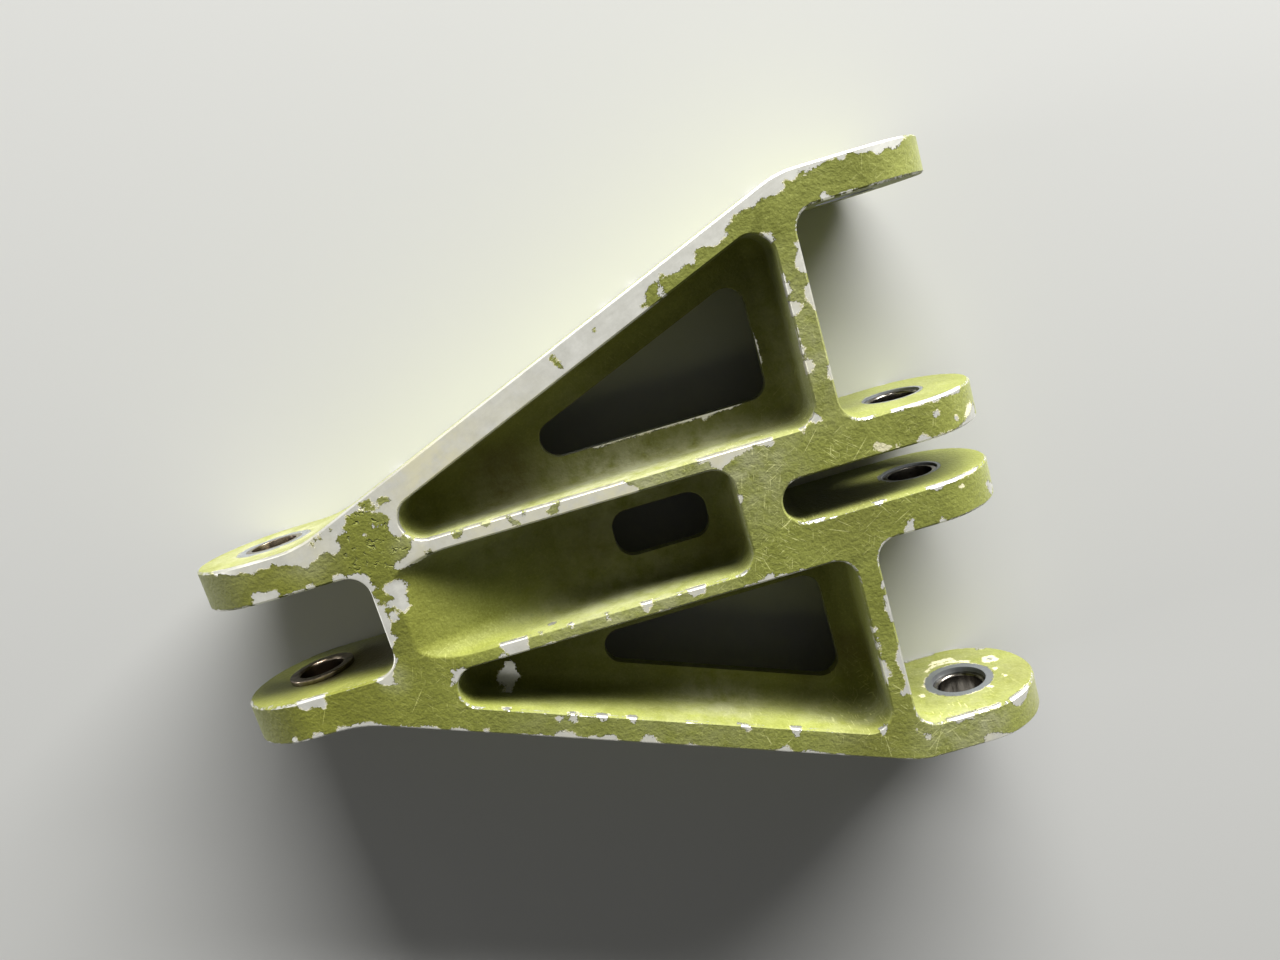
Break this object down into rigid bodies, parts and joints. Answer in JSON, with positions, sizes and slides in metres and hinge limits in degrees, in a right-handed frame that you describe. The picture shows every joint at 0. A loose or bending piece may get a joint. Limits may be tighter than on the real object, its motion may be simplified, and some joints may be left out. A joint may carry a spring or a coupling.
{
  "type": "torque link",
  "caption": "Machined aluminium torque link of an aircraft landing gear: a forked narrow end, a wide end of coaxial ears, pressed steel bushings.",
  "frame": {"origin": "middle of the narrow fork: on its hinge axis, on the centreline, half way through the thickness", "axes": "+X along the centreline to the wide end, +Y along the hinge axes, +Z across the thickness; it lies flat on its lower face"},
  "size_m": [0.168, 0.125, 0.032],
  "materials": {
    "painted_aluminium": "satin olive green primer, chipped at the edges to bare aluminium",
    "bushing_steel": "ground and reamed, smooth in the bore"
  },
  "bodies": {
    "root": {"link_body": "painted_aluminium", "narrow_bushing_left": "bushing_steel", "narrow_bushing_right": "bushing_steel", "wide_outer_bushing_left": "bushing_steel", "wide_outer_bushing_right": "bushing_steel", "wide_inner_bushing_left": "bushing_steel", "wide_inner_bushing_right": "bushing_steel"}
  },
  "joints": []
}
